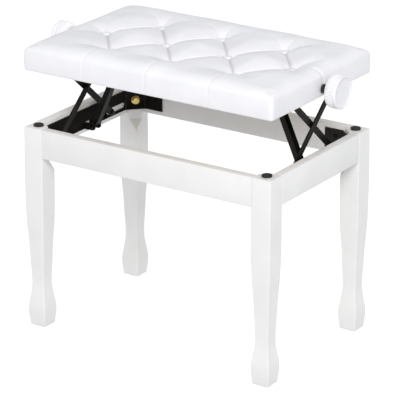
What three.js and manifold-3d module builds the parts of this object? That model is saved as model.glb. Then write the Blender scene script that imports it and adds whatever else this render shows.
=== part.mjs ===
// Adjustable piano bench: a white wooden frame, a tufted seat, and a screw-and-scissor lift
// between them. Millimetres, +Z up, X along the bench, the floor at z = 0 and the origin in the
// middle of the footprint. The seat stands at its highest position.

import * as THREE from 'three';
import { mergeVertices } from 'three/addons/utils/BufferGeometryUtils.js';
import Module from 'manifold-3d';

const wasm = await Module();
wasm.setup();

// ---------------------------------------------------------------- driving dimensions

const GAP = 0.3; // air left between pieces that touch

// wooden frame
const FRAME_LENGTH = 560;
const FRAME_WIDTH = 360;
const FRAME_TOP = 416;
const LEG_SIZE = 40.5;
const LEG_CHAMFER = 17.5;
const LEG_CHAMFER_END = 346;
const LEG_CHAMFER_TIP = 324;
const APRON_HEIGHT = 58;
const APRON_THICKNESS = 18;
const GLIDE_RADIUS = 9;
const GLIDE_HEIGHT = 4;
const PAD_RADIUS = 10;
const PAD_THICKNESS = 3.5;

// half the leg's side at each height, from the sole up to where it runs straight
const LEG_OUTLINE = [
  [GLIDE_HEIGHT, 17.1],
  [27, 19.4],
  [41, 19.8],
  [65, 16.7],
  [91, 14.1],
  [103, 14.2],
  [140, 15.7],
  [179, 17.2],
  [215, 19.5],
  [246, LEG_SIZE / 2],
];

// seat
const SEAT_LENGTH = 560;
const SEAT_WIDTH = 354;
const SEAT_BOTTOM = 530;
const SEAT_SIDE = 36;
const SEAT_CROWN = 55;
const LEATHER = 1.7;
const SKIRT_THICKNESS = 15;
const SKIRT_TOP = 24;
const BOARD_THICKNESS = 9;
const HEM_WIDTH = 14;

// lift: heights of its pivots, and what the seat travels
const ROD_HEIGHT = SEAT_BOTTOM + 15;
const ROD_RADIUS = 4;
const ROD_HALF_LENGTH = 316;
const KNOB_RADIUS = 32;
const KNOB_FACE = 325;
const KNOB_BACK = 298;
const KNOB_HUB_END = 292;
const BUSHING_RADIUS = 6.2;
const BUSHING_END = 289;
const BUSHING_DISC = { radius: 9.2, from: 281, to: 285.5 };
const TRAVEL = 110;

// brackets of pressed steel
const STEEL = 2;
const BRACKET_BOTTOM = 367;
const BRACKET_TOP = 408;
const BRACKET_TAB_END = 191;
const BOLT_STANDOFF = 2.6;
const BOLT_RADIUS = 4;
const SLOT_HEIGHT = 12;
const TAB_HOLE = { radius: 2.2, x: 214, z: 394 };
const EAR_WIDTH = 14;

// scissor arms, in the plane of the bench's end
const ARM_WIDTH = 13;
const ARM_THICKNESS = 3;
const INNER_ARM_X = 243;
const OUTER_ARM_X = 249.4;
const ARM_FIXED_Y = 113;
const ARM_SLIDING_Y = 69;
const ARM_LOW_Z = 381;
const ARM_HIGH_Z = SEAT_BOTTOM + 11;
const PIN_RADIUS = 3;
const PIN_HEAD_RADIUS = 5.5;

// struts, from the bracket's foot pin up to the nut on the threaded rod
const STRUT_WIDTH = 16;
const STRUT_DEPTH = 11;
const STRUT_STEEL = 1.6;
const STRUT_FOOT_PIN = 2;
const STRUT_SLOT_HEIGHT = 7.6;
const STRUT_SLOT_LENGTH = 16;
const STRUT_FOOT = { x: 241, z: 374 };
const NUT_X = 165;
const NUT_LENGTH = 14;
const NUT_PIN_RADIUS = 2.7;

// ---------------------------------------------------------------- colours

const finish = (color, roughness, metalness = 0) =>
  new THREE.MeshStandardMaterial({ color, roughness, metalness });

const lacquer = finish('#efeeea', 0.42);
const leather = finish('#f3f3f6', 0.5);
const foam = finish('#e9e2c4', 0.95);
const plywood = finish('#c9a877', 0.8);
const blackSteel = finish('#25251f', 0.5, 0.3);
const yellowZinc = finish('#b9a364', 0.35, 0.9);
const brightSteel = finish('#9a9b9d', 0.3, 0.9);
const blackRubber = finish('#1b1c1a', 0.8);
const blackPlastic = finish('#1d1d1f', 0.55);
const whitePlastic = finish('#f4f4f6', 0.4);

// ---------------------------------------------------------------- making solids

// One closed mesh: shared corners merged, and triangles that have shrunk to a line dropped.
function closed(geometry) {
  const bare = geometry.clone();
  bare.deleteAttribute('normal');
  bare.deleteAttribute('uv');
  const merged = mergeVertices(bare);
  const corners = [...merged.index.array];
  const kept = [];
  for (let i = 0; i < corners.length; i += 3) {
    const [a, b, c] = corners.slice(i, i + 3);
    if (a !== b && b !== c && c !== a) kept.push(a, b, c);
  }
  merged.setIndex(kept);
  return merged;
}

function solidOf(geometry) {
  const mesh = closed(geometry);
  const vertProperties = Float32Array.from(mesh.attributes.position.array);
  const triVerts = Uint32Array.from(mesh.index.array);
  return new wasm.Manifold(new wasm.Mesh({ numProp: 3, vertProperties, triVerts }));
}

function geometryOf(solid) {
  const mesh = solid.getMesh();
  const geometry = new THREE.BufferGeometry();
  geometry.setAttribute('position', new THREE.BufferAttribute(mesh.vertProperties, 3));
  geometry.setIndex(new THREE.BufferAttribute(mesh.triVerts, 1));
  return geometry;
}

function cut(geometry, ...tools) {
  return geometryOf(tools.reduce((left, tool) => left.subtract(solidOf(tool)), solidOf(geometry)));
}

function join(geometry, ...others) {
  return geometryOf(others.reduce((whole, other) => whole.add(solidOf(other)), solidOf(geometry)));
}

// A box between two corners.
function block([x0, y0, z0], [x1, y1, z1]) {
  const geometry = new THREE.BoxGeometry(x1 - x0, y1 - y0, z1 - z0);
  return geometry.translate((x0 + x1) / 2, (y0 + y1) / 2, (z0 + z1) / 2);
}

// A turned solid about Z from its outline of [radius, z], which starts and ends on the axis.
function turned(outline, sides = 20) {
  const points = outline.map(([radius, z]) => new THREE.Vector2(radius, z));
  return new THREE.LatheGeometry(points, sides).rotateX(Math.PI / 2);
}

const rodOutline = (radius, from, to) => [[0, from], [radius, from], [radius, to], [0, to]];

const alongX = (geometry) => geometry.rotateY(Math.PI / 2);
const alongY = (geometry) => geometry.rotateX(-Math.PI / 2);

// A solid with four mitred sides from its outline of [share of half side, z].
function mitred(outline, halfX, halfY) {
  const points = outline.map(([share, z]) => new THREE.Vector2(share * Math.SQRT2, z));
  const square = new THREE.LatheGeometry(points, 4, Math.PI / 4).rotateX(Math.PI / 2);
  return square.scale(halfX, halfY, 1);
}

// A flat plate: its outline in X and Y, standing from z = 0 up to its height.
function plate(outline, height) {
  const shape = new THREE.Shape(outline.map(([x, y]) => new THREE.Vector2(x, y)));
  return new THREE.ExtrudeGeometry(shape, { depth: height, bevelEnabled: false });
}

// A bar with two round ends, from (0, 0) to (length, 0), standing from z = 0 up to its height.
function roundEndedBar(length, width, height, sides = 6) {
  const shape = new THREE.Shape();
  shape.absarc(length, 0, width / 2, -Math.PI / 2, Math.PI / 2, false);
  shape.absarc(0, 0, width / 2, Math.PI / 2, (Math.PI * 3) / 2, false);
  return new THREE.ExtrudeGeometry(shape, { depth: height, bevelEnabled: false, curveSegments: sides });
}

function add(group, name, geometry, material) {
  const mesh = new THREE.Mesh(closed(geometry), material);
  mesh.name = name;
  group.add(mesh);
  return mesh;
}

const bench = new THREE.Group();

// The four corners, each with the side of X and of Y that it is on.
const CORNERS = [
  { name: 'back_left', x: -1, y: 1 },
  { name: 'front_left', x: -1, y: -1 },
  { name: 'front_right', x: 1, y: -1 },
  { name: 'back_right', x: 1, y: 1 },
];
const LEG_X = (FRAME_LENGTH - LEG_SIZE) / 2;
const LEG_Y = (FRAME_WIDTH - LEG_SIZE) / 2;

// ---------------------------------------------------------------- legs, glides and pads

// Square leg with a waisted ankle and a flared foot. Its inner corner is cut off flat behind
// the corner plate, and the flat runs out in a short slope below the apron.
function legGeometry() {
  const half = LEG_SIZE / 2;
  const outline = LEG_OUTLINE.map(([z, side]) => [side, z]);
  const body = mitred([[0, GLIDE_HEIGHT], ...outline, [half, FRAME_TOP], [0, FRAME_TOP]], 1, 1);
  const edge = half * Math.SQRT2;
  const flat = edge - LEG_CHAMFER / Math.SQRT2;
  const slice = plate([
    [flat, FRAME_TOP + 1],
    [flat, LEG_CHAMFER_END],
    [edge, LEG_CHAMFER_TIP],
    [edge + 5, LEG_CHAMFER_TIP],
    [edge + 5, FRAME_TOP + 1],
  ], LEG_SIZE);
  slice.translate(0, 0, -LEG_SIZE / 2);
  slice.rotateX(Math.PI / 2);
  const boltHole = alongX(turned(rodOutline(BOLT_RADIUS + GAP, flat - 24, flat + 2), 12));
  boltHole.translate(0, 0, (BRACKET_BOTTOM + BRACKET_TOP) / 2);
  for (const tool of [slice, boltHole]) tool.rotateZ(-Math.PI / 4);
  return cut(body, slice, boltHole);
}

const GLIDE_OUTLINE = [
  [0, 0],
  [GLIDE_RADIUS - 1.2, 0],
  [GLIDE_RADIUS, 1.2],
  [GLIDE_RADIUS, GLIDE_HEIGHT - GAP],
  [0, GLIDE_HEIGHT - GAP],
];
const PAD_OUTLINE = [
  [0, 0],
  [PAD_RADIUS, 0],
  [PAD_RADIUS, PAD_THICKNESS - 0.8],
  [PAD_RADIUS - 0.8, PAD_THICKNESS],
  [0, PAD_THICKNESS],
];

for (const corner of CORNERS) {
  const place = [corner.x * LEG_X, corner.y * LEG_Y, 0];
  const leg = add(bench, `leg_${corner.name}`, legGeometry(), lacquer);
  leg.position.set(...place);
  leg.rotation.z = Math.atan2(-corner.y, -corner.x) + Math.PI / 4;
  add(bench, `glide_${corner.name}`, turned(GLIDE_OUTLINE), blackPlastic).position.set(...place);
  const pad = add(bench, `pad_${corner.name}`, turned(PAD_OUTLINE), blackRubber);
  pad.position.set(place[0], place[1], FRAME_TOP + GAP);
}

// ---------------------------------------------------------------- aprons

const APRON_BOTTOM = FRAME_TOP - APRON_HEIGHT;

function apron(name, halfLength, outerFace, turns) {
  const geometry = block(
    [-halfLength, outerFace - APRON_THICKNESS, APRON_BOTTOM],
    [halfLength, outerFace, FRAME_TOP],
  );
  add(bench, name, geometry, lacquer).rotation.z = (turns * Math.PI) / 2;
}

const LONG_APRON = FRAME_LENGTH / 2 - LEG_SIZE - GAP;
const SHORT_APRON = FRAME_WIDTH / 2 - LEG_SIZE - GAP;
apron('apron_back', LONG_APRON, FRAME_WIDTH / 2, 0);
apron('apron_left', SHORT_APRON, FRAME_LENGTH / 2, 1);
apron('apron_front', LONG_APRON, FRAME_WIDTH / 2, 2);
apron('apron_right', SHORT_APRON, FRAME_LENGTH / 2, 3);

// ---------------------------------------------------------------- the lift's two ends

// Both ends hold the same parts, the right one turned half round about Z.
const ends = {};
for (const side of ['left', 'right']) {
  ends[side] = new THREE.Group();
  ends[side].rotation.z = side === 'left' ? 0 : Math.PI;
  bench.add(ends[side]);
}

const WEB_FACE = FRAME_LENGTH / 2 - APRON_THICKNESS - GAP;
const TAB_FACE = FRAME_WIDTH / 2 - APRON_THICKNESS - GAP;
// the corner plate's outer face lies on y = x + CORNER_LINE at the back left corner
const CORNER_LINE = FRAME_LENGTH / 2 - FRAME_WIDTH / 2
  + (FRAME_WIDTH - 2 * LEG_SIZE + LEG_CHAMFER) - BOLT_STANDOFF * Math.SQRT2;

// Half of the bracket's centre strip, from the web's middle round to the back tab's end.
function bracketEdge(inset) {
  const line = CORNER_LINE - inset * Math.SQRT2;
  const webX = -(WEB_FACE - inset);
  const tabY = TAB_FACE - inset;
  return [[webX, line + webX], [tabY - line, tabY], [-BRACKET_TAB_END, tabY]];
}

const mirrored = (points) => points.map(([x, y]) => [x, -y]).reverse();

// A slot through the bracket's web or the seat rail, for a sliding pin.
function slotTool(fromY, toY, z, x) {
  const bar = roundEndedBar(toY - fromY, SLOT_HEIGHT, 12);
  bar.rotateZ(Math.PI / 2).rotateY(Math.PI / 2);
  return bar.translate(x - 6, fromY, z);
}

function holeAlongX(radius, x, y, z) {
  return alongX(turned(rodOutline(radius, -6, 6), 12)).translate(x, y, z);
}

// Where the sliding ends of the arms are when the seat is down.
const ARM_RISE = ARM_HIGH_Z - ARM_LOW_Z;
const ARM_SPAN = ARM_FIXED_Y + ARM_SLIDING_Y;
const ARM_LENGTH = Math.hypot(ARM_SPAN, ARM_RISE);
const ARM_ANGLE = Math.atan2(ARM_RISE, ARM_SPAN);
const ARM_SLID_Y = Math.sqrt(ARM_LENGTH ** 2 - (ARM_RISE - TRAVEL) ** 2) - ARM_FIXED_Y;
const SLOT_REACH = PIN_RADIUS + 1.2 - SLOT_HEIGHT / 2;

// Pressed bracket: a web along the short apron, a plate across each leg's flat and a tab along
// each long apron. Two ears folded in from the lower edge hold the strut's foot.
function bracketGeometry() {
  const outer = bracketEdge(0);
  const inner = bracketEdge(STEEL);
  const strip = [
    ...mirrored(outer),
    ...outer,
    ...inner.toReversed(),
    ...mirrored(inner).toReversed(),
  ];
  const body = plate(strip, BRACKET_TOP - BRACKET_BOTTOM).translate(0, 0, BRACKET_BOTTOM);
  const web = -WEB_FACE + STEEL / 2;
  const earY = STRUT_WIDTH / 2 + GAP;
  const notch = block(
    [web - 6, -earY, BRACKET_BOTTOM - 1],
    [web + 6, earY, STRUT_FOOT.z + EAR_WIDTH / 2],
  );
  const plateY = (CORNER_LINE + TAB_FACE - WEB_FACE) / 2;
  const plateX = plateY - CORNER_LINE;
  const boltHoles = [-1, 1].map((way) => {
    const hole = alongX(turned(rodOutline(BOLT_RADIUS + GAP, -8, 8), 12));
    hole.rotateZ(-way * Math.PI / 4);
    return hole.translate(plateX, way * plateY, (BRACKET_BOTTOM + BRACKET_TOP) / 2);
  });
  const tabHoles = [-1, 1].map((way) => {
    const hole = alongY(turned(rodOutline(TAB_HOLE.radius, -6, 6), 10));
    return hole.translate(-TAB_HOLE.x, way * (TAB_FACE - STEEL / 2), TAB_HOLE.z);
  });
  const pierced = cut(
    body,
    notch,
    slotTool(ARM_SLIDING_Y - SLOT_REACH, ARM_SLID_Y + SLOT_REACH, ARM_LOW_Z - 2, web),
    holeAlongX(PIN_RADIUS + GAP, web, -ARM_FIXED_Y, ARM_LOW_Z),
    ...boltHoles,
    ...tabHoles,
  );
  return join(pierced, ...[-1, 1].map((way) => earGeometry(way * (earY + STEEL / 2))));
}

// One ear, with the foot pin's hole in its round end.
function earGeometry(y) {
  const length = WEB_FACE - STEEL / 2 - STRUT_FOOT.x;
  const half = EAR_WIDTH / 2;
  const tip = turned(rodOutline(half, 0, STEEL), 24);
  const tail = block([0, -half, 0], [length + 0.2, half, STEEL]);
  const hole = turned(rodOutline(STRUT_FOOT_PIN + GAP, -1, STEEL + 1), 12);
  return cut(join(tip, tail), hole)
    .rotateZ(Math.PI)
    .rotateX(Math.PI / 2)
    .translate(-STRUT_FOOT.x, y + STEEL / 2, STRUT_FOOT.z);
}

// Hex-headed corner bolt through the corner plate into the leg, drawn along +Z from the plate.
const BOLT_GRIP = 22;
function cornerBoltGeometry() {
  const flange = turned([
    [0, -BOLT_GRIP],
    [BOLT_RADIUS, -BOLT_GRIP],
    [BOLT_RADIUS, GAP],
    [9, GAP],
    [9, 1.5],
    [6.5, 2.5],
    [0, 2.5],
  ], 24);
  const hex = turned([[0, 2], [7.5, 2], [7.5, 6.5], [6.4, 7.5], [0, 7.5]], 6);
  return join(flange, hex);
}

for (const [side, end] of Object.entries(ends)) {
  add(end, `bracket_${side}`, bracketGeometry(), blackSteel);
  const innerLine = CORNER_LINE - STEEL * Math.SQRT2;
  const y = (innerLine + TAB_FACE - WEB_FACE) / 2;
  const backName = side === 'left' ? 'back' : 'front';
  const frontName = side === 'left' ? 'front' : 'back';
  for (const [place, way] of [[backName, 1], [frontName, -1]]) {
    const bolt = add(end, `corner_bolt_${place}_${side}`, alongX(cornerBoltGeometry()), yellowZinc);
    bolt.position.set(y - innerLine, way * y, (BRACKET_BOTTOM + BRACKET_TOP) / 2);
    bolt.rotation.z = (-way * Math.PI) / 4;
  }
}

// ---------------------------------------------------------------- struts

const STRUT_RISE = ROD_HEIGHT - STRUT_FOOT.z;
const STRUT_RUN = STRUT_FOOT.x - NUT_X;
const STRUT_LENGTH = Math.hypot(STRUT_RISE, STRUT_RUN);
const STRUT_ANGLE = Math.atan2(STRUT_RISE, STRUT_RUN);

// Channel strut, drawn from its foot pin along +X with its back down. The back stops short of
// the top, where the two cheeks take the nut's pins. The foot end is slotted along the strut,
// with room for the foot pin wherever the lift stands.
function strutGeometry() {
  const cheekY = STRUT_WIDTH / 2 - STRUT_STEEL;
  const cheeks = [-1, 1].map((way) => {
    const cheek = roundEndedBar(STRUT_LENGTH, STRUT_DEPTH, STRUT_STEEL);
    cheek.rotateX(Math.PI / 2);
    return cheek.translate(0, way > 0 ? STRUT_WIDTH / 2 : -cheekY, 0);
  });
  const back = block(
    [8, -STRUT_WIDTH / 2, -STRUT_DEPTH / 2],
    [STRUT_LENGTH - NUT_LENGTH, STRUT_WIDTH / 2, -STRUT_DEPTH / 2 + STRUT_STEEL],
  );
  const topHole = alongY(turned(rodOutline(NUT_PIN_RADIUS + GAP, -12, 12), 12));
  topHole.translate(STRUT_LENGTH, 0, 0);
  const slot = roundEndedBar(STRUT_SLOT_LENGTH, STRUT_SLOT_HEIGHT, 24);
  slot.rotateX(Math.PI / 2).translate(0, 12, 0);
  return cut(join(back, ...cheeks), topHole, slot);
}

// Riveted pin along Y with a head outside each ear.
function footPinGeometry() {
  const face = STRUT_WIDTH / 2 + STEEL + 2 * GAP;
  const head = face + 1.5;
  return alongY(turned([
    [0, -head],
    [4.6, -head],
    [4.6, -face],
    [STRUT_FOOT_PIN, -face],
    [STRUT_FOOT_PIN, face],
    [4.6, face],
    [4.6, head],
    [0, head],
  ], 16));
}

// Trunnion nut: a block on the threaded rod with a pin out of each side.
function nutGeometry() {
  const half = STRUT_WIDTH / 2 - STRUT_STEEL - GAP;
  const body = block([-NUT_LENGTH / 2, -half, -6.5], [NUT_LENGTH / 2, half, 6.5]);
  const reach = STRUT_WIDTH / 2 + 1;
  const pins = alongY(turned(rodOutline(NUT_PIN_RADIUS, -reach, reach), 12));
  const bore = alongX(turned(rodOutline(ROD_RADIUS + GAP, -20, 20), 16));
  return cut(join(body, pins), bore);
}

for (const [side, end] of Object.entries(ends)) {
  const strut = add(end, `strut_${side}`, strutGeometry(), blackSteel);
  strut.position.set(-STRUT_FOOT.x, 0, STRUT_FOOT.z);
  strut.rotation.y = -STRUT_ANGLE;
  const footPin = add(end, `strut_foot_pin_${side}`, footPinGeometry(), blackSteel);
  footPin.position.set(-STRUT_FOOT.x, 0, STRUT_FOOT.z);
  const nut = add(end, `rod_nut_${side}`, nutGeometry(), blackSteel);
  nut.position.set(-NUT_X, 0, ROD_HEIGHT);
}

// ---------------------------------------------------------------- scissor arms and their pins

// Flat arm along +Y from its fixed pin, standing up along X, with a hole for each pin.
function armGeometry(...holesAt) {
  const holes = holesAt.map((at) => {
    const hole = turned(rodOutline(PIN_RADIUS + GAP, -1, ARM_THICKNESS + 1), 12);
    return hole.translate(at, 0, 0);
  });
  return cut(roundEndedBar(ARM_LENGTH, ARM_WIDTH, ARM_THICKNESS), ...holes)
    .translate(0, 0, -ARM_THICKNESS / 2)
    .rotateZ(Math.PI / 2)
    .rotateY(Math.PI / 2);
}

// Stepped pin along X: a roller or spacer of one radius from its outboard end to the arm, the
// shank through the arm, and a head on the inboard side.
function armPinGeometry(armX, outboardEnd, rollerRadius) {
  const armFace = armX + ARM_THICKNESS / 2 + GAP;
  const headFace = armX - ARM_THICKNESS / 2 - GAP;
  return alongX(turned([
    [0, -outboardEnd],
    [PIN_RADIUS, -outboardEnd],
    [PIN_RADIUS, -WEB_FACE + STEEL + GAP],
    [rollerRadius, -WEB_FACE + STEEL + GAP],
    [rollerRadius, -armFace],
    [PIN_RADIUS, -armFace],
    [PIN_RADIUS, -headFace],
    [PIN_HEAD_RADIUS, -headFace],
    [PIN_HEAD_RADIUS, -headFace + 1.3],
    [4.2, -headFace + 2],
    [0, -headFace + 2],
  ], 14));
}

const PIN_END = WEB_FACE - GAP;
for (const [side, end] of Object.entries(ends)) {
  const middle = ARM_LENGTH / 2;
  const inner = add(end, `inner_arm_${side}`, armGeometry(0, middle, ARM_LENGTH), blackSteel);
  inner.position.set(-INNER_ARM_X, -ARM_FIXED_Y, ARM_LOW_Z);
  inner.rotation.x = ARM_ANGLE;
  const outer = add(end, `outer_arm_${side}`, armGeometry(0, ARM_LENGTH), blackSteel);
  outer.position.set(-OUTER_ARM_X, -ARM_FIXED_Y, ARM_HIGH_Z);
  outer.rotation.x = -ARM_ANGLE;

  const pins = [
    ['lower_fixed_pin', INNER_ARM_X, -ARM_FIXED_Y, ARM_LOW_Z, 5],
    ['upper_fixed_pin', OUTER_ARM_X, -ARM_FIXED_Y, ARM_HIGH_Z, 5],
    ['lower_sliding_pin', OUTER_ARM_X, ARM_SLIDING_Y, ARM_LOW_Z, 4.5],
    ['upper_sliding_pin', INNER_ARM_X, ARM_SLIDING_Y, ARM_HIGH_Z, 4.5],
  ];
  for (const [name, armX, y, z, radius] of pins) {
    const pin = add(end, `${name}_${side}`, armPinGeometry(armX, PIN_END, radius), blackSteel);
    pin.position.set(0, y, z);
  }
}

// Rivet at the crossing: its head and shank in the inner arm, its collar keeping the arms apart.
function rivetGeometry() {
  const headFace = INNER_ARM_X - ARM_THICKNESS / 2 - GAP;
  const collarFace = INNER_ARM_X + ARM_THICKNESS / 2 + GAP;
  const collarEnd = OUTER_ARM_X - ARM_THICKNESS / 2 - GAP;
  return alongX(turned([
    [0, -collarEnd],
    [PIN_HEAD_RADIUS, -collarEnd],
    [PIN_HEAD_RADIUS, -collarFace],
    [PIN_RADIUS, -collarFace],
    [PIN_RADIUS, -headFace],
    [PIN_HEAD_RADIUS, -headFace],
    [PIN_HEAD_RADIUS, -headFace + 1.2],
    [3.8, -headFace + 2],
    [0, -headFace + 2],
  ], 14));
}

for (const [side, end] of Object.entries(ends)) {
  const rivet = add(end, `scissor_rivet_${side}`, rivetGeometry(), blackSteel);
  rivet.position.set(0, (ARM_SLIDING_Y - ARM_FIXED_Y) / 2, (ARM_LOW_Z + ARM_HIGH_Z) / 2);
}

// ---------------------------------------------------------------- threaded rod, bushings, knobs

const rodGeometry = turned(rodOutline(ROD_RADIUS, -ROD_HALF_LENGTH, ROD_HALF_LENGTH));
add(bench, 'threaded_rod', alongX(rodGeometry), brightSteel).position.z = ROD_HEIGHT;

const RAIL_FACE = SEAT_LENGTH / 2 - LEATHER - GAP - SKIRT_THICKNESS - GAP;

// Sleeve that the rod turns in, pushed in from outside up to its disc; a lip snaps in behind
// the rail.
function bushingGeometry() {
  const bore = ROD_RADIUS + GAP;
  const flange = -RAIL_FACE + STEEL + GAP;
  return alongX(turned([
    [bore, -BUSHING_END],
    [BUSHING_RADIUS, -BUSHING_END],
    [BUSHING_RADIUS, -BUSHING_DISC.to],
    [BUSHING_DISC.radius, -BUSHING_DISC.to],
    [BUSHING_DISC.radius, -BUSHING_DISC.from],
    [BUSHING_RADIUS, -BUSHING_DISC.from],
    [BUSHING_RADIUS, flange],
    [BUSHING_RADIUS + 0.7, flange],
    [BUSHING_RADIUS + 0.7, flange + 2],
    [bore, flange + 2],
    [bore, -BUSHING_END],
  ]));
}

// Hand knob, drawn along -X: hub, coned back, straight grip and a slightly dished face.
function knobGeometry() {
  const bore = ROD_RADIUS + GAP;
  return alongX(turned([
    [0, -KNOB_FACE + 1.2],
    [KNOB_RADIUS - 7, -KNOB_FACE + 0.6],
    [KNOB_RADIUS - 4, -KNOB_FACE],
    [KNOB_RADIUS - 1, -KNOB_FACE + 0.8],
    [KNOB_RADIUS, -KNOB_FACE + 3],
    [KNOB_RADIUS, -KNOB_BACK - 3],
    [KNOB_RADIUS - 3, -KNOB_BACK],
    [11, -KNOB_HUB_END - 4],
    [10, -KNOB_HUB_END],
    [bore, -KNOB_HUB_END],
    [bore, -ROD_HALF_LENGTH - GAP],
    [0, -ROD_HALF_LENGTH - GAP],
  ], 40));
}

for (const [side, end] of Object.entries(ends)) {
  add(end, `rod_bushing_${side}`, bushingGeometry(), blackPlastic).position.z = ROD_HEIGHT;
  add(end, `knob_${side}`, knobGeometry(), whitePlastic).position.z = ROD_HEIGHT;
}

// ---------------------------------------------------------------- seat rails

// Pressed angle inside each short skirt: it holds the arms' upper pins and screws to the board.
function railGeometry() {
  const top = SEAT_BOTTOM + SKIRT_TOP - GAP;
  const web = block([-RAIL_FACE, -136, SEAT_BOTTOM + 4], [-RAIL_FACE + STEEL, 141, top]);
  const flange = block([-RAIL_FACE, -136, top - 1.6], [-RAIL_FACE + 22, 141, top]);
  const x = -RAIL_FACE + STEEL / 2;
  return cut(
    join(web, flange),
    holeAlongX(PIN_RADIUS + GAP, x, -ARM_FIXED_Y, ARM_HIGH_Z),
    holeAlongX(BUSHING_RADIUS + GAP, x, 0, ROD_HEIGHT),
    slotTool(ARM_SLIDING_Y - SLOT_REACH, ARM_SLID_Y + SLOT_REACH, ARM_HIGH_Z + 1.2, x),
  );
}

for (const [side, end] of Object.entries(ends)) {
  add(end, `seat_rail_${side}`, railGeometry(), blackSteel);
}

// ---------------------------------------------------------------- seat box

const BOX_LENGTH = SEAT_LENGTH - 2 * (LEATHER + GAP);
const BOX_WIDTH = SEAT_WIDTH - 2 * (LEATHER + GAP);
const SKIRT_BOTTOM = SEAT_BOTTOM + LEATHER + GAP;
const BOARD_BOTTOM = SEAT_BOTTOM + SKIRT_TOP + GAP;

for (const [place, way] of [['front', -1], ['back', 1]]) {
  const outer = (way * BOX_WIDTH) / 2;
  const inner = outer - way * SKIRT_THICKNESS;
  const skirt = block(
    [-BOX_LENGTH / 2, Math.min(inner, outer), SKIRT_BOTTOM],
    [BOX_LENGTH / 2, Math.max(inner, outer), SEAT_BOTTOM + SKIRT_TOP],
  );
  add(bench, `seat_skirt_${place}`, skirt, plywood);
}

for (const [side, end] of Object.entries(ends)) {
  const half = BOX_WIDTH / 2 - SKIRT_THICKNESS - GAP;
  const skirt = block(
    [-BOX_LENGTH / 2, -half, SKIRT_BOTTOM],
    [-BOX_LENGTH / 2 + SKIRT_THICKNESS, half, SEAT_BOTTOM + SKIRT_TOP],
  );
  const drilled = cut(
    skirt,
    alongX(turned(rodOutline(BUSHING_RADIUS + GAP, -300, -240))).translate(0, 0, ROD_HEIGHT),
  );
  add(end, `seat_skirt_${side}`, drilled, plywood);
}

add(bench, 'seat_board', block(
  [-BOX_LENGTH / 2, -BOX_WIDTH / 2, BOARD_BOTTOM],
  [BOX_LENGTH / 2, BOX_WIDTH / 2, BOARD_BOTTOM + BOARD_THICKNESS],
), plywood);

// The cushion's crown: shares of the half side, and heights above the seat's bottom.
const CROWN = [[1, SEAT_SIDE], [0.986, 43], [0.936, 49], [0.8, 53], [0, SEAT_CROWN]];

// The crown sunk by an inset all round, closed down to a base height.
function crowned(inset, base) {
  const top = CROWN.map(([share, z]) => [share, SEAT_BOTTOM + z - inset]);
  const outline = [[0, SEAT_BOTTOM + base], [1, SEAT_BOTTOM + base], ...top];
  return mitred(outline, SEAT_LENGTH / 2 - inset, SEAT_WIDTH / 2 - inset);
}

const FOAM_BASE = SKIRT_TOP + BOARD_THICKNESS + 2 * GAP;
add(bench, 'seat_foam', crowned(LEATHER + GAP, FOAM_BASE), foam);

// Leather cover over the box and foam, its hem turned under the skirts.
const hemHole = block(
  [-SEAT_LENGTH / 2 + HEM_WIDTH, -SEAT_WIDTH / 2 + HEM_WIDTH, SEAT_BOTTOM - 1],
  [SEAT_LENGTH / 2 - HEM_WIDTH, SEAT_WIDTH / 2 - HEM_WIDTH, SEAT_BOTTOM + LEATHER + 1],
);
const rodHoles = [-1, 1].map((way) =>
  holeAlongX(BUSHING_RADIUS + GAP, (way * SEAT_LENGTH) / 2, 0, ROD_HEIGHT));
add(bench, 'seat_cover', cut(crowned(0, 0), crowned(LEATHER, LEATHER), hemHole, ...rodHoles), leather);

export default bench;
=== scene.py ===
# Adjustable piano bench: a white lacquered wooden frame, a tufted leather seat, and a
# screw-and-scissor lift between them. Metres, +Z up, X along the bench, the floor at z = 0.

import math

import bmesh
import bpy
import numpy as np
from mathutils import Matrix, Vector


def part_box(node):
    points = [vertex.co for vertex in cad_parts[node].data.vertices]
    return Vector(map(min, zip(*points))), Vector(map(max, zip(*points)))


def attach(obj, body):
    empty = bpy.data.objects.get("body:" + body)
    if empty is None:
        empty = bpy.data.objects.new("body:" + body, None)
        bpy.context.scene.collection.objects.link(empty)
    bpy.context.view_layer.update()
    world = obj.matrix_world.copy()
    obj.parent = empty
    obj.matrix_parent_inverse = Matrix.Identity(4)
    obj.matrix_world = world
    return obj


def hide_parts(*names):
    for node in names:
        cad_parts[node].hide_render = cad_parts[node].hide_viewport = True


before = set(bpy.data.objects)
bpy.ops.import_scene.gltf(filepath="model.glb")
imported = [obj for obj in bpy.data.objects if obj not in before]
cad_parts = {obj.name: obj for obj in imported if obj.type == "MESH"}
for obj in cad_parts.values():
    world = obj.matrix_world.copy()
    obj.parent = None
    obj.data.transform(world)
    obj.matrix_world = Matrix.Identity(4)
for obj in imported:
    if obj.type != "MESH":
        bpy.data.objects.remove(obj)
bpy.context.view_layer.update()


# ---------------------------------------------------------------- studio
# The bench stands on a seamless white paper sweep. One big soft box hangs to the front right
# and above, and pale walls all round fill in the rest, so that shadows are soft.

def linear(hex_colour):
    """An sRGB hex colour as the linear RGBA that shaders work in."""
    parts = [int(hex_colour[i:i + 2], 16) / 255 for i in (1, 3, 5)]
    return (*(p / 12.92 if p <= 0.04045 else ((p + 0.055) / 1.055) ** 2.4 for p in parts), 1.0)


def node(tree, kind, inputs=None, **settings):
    """Adds a shader node with its settings. An input is a value, or a socket to link from."""
    made = tree.nodes.new("ShaderNode" + kind)
    for name, value in settings.items():
        setattr(made, name, value)
    for name, value in (inputs or {}).items():
        if isinstance(value, bpy.types.NodeSocket):
            tree.links.new(value, made.inputs[name])
        else:
            made.inputs[name].default_value = value
    return made


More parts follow.
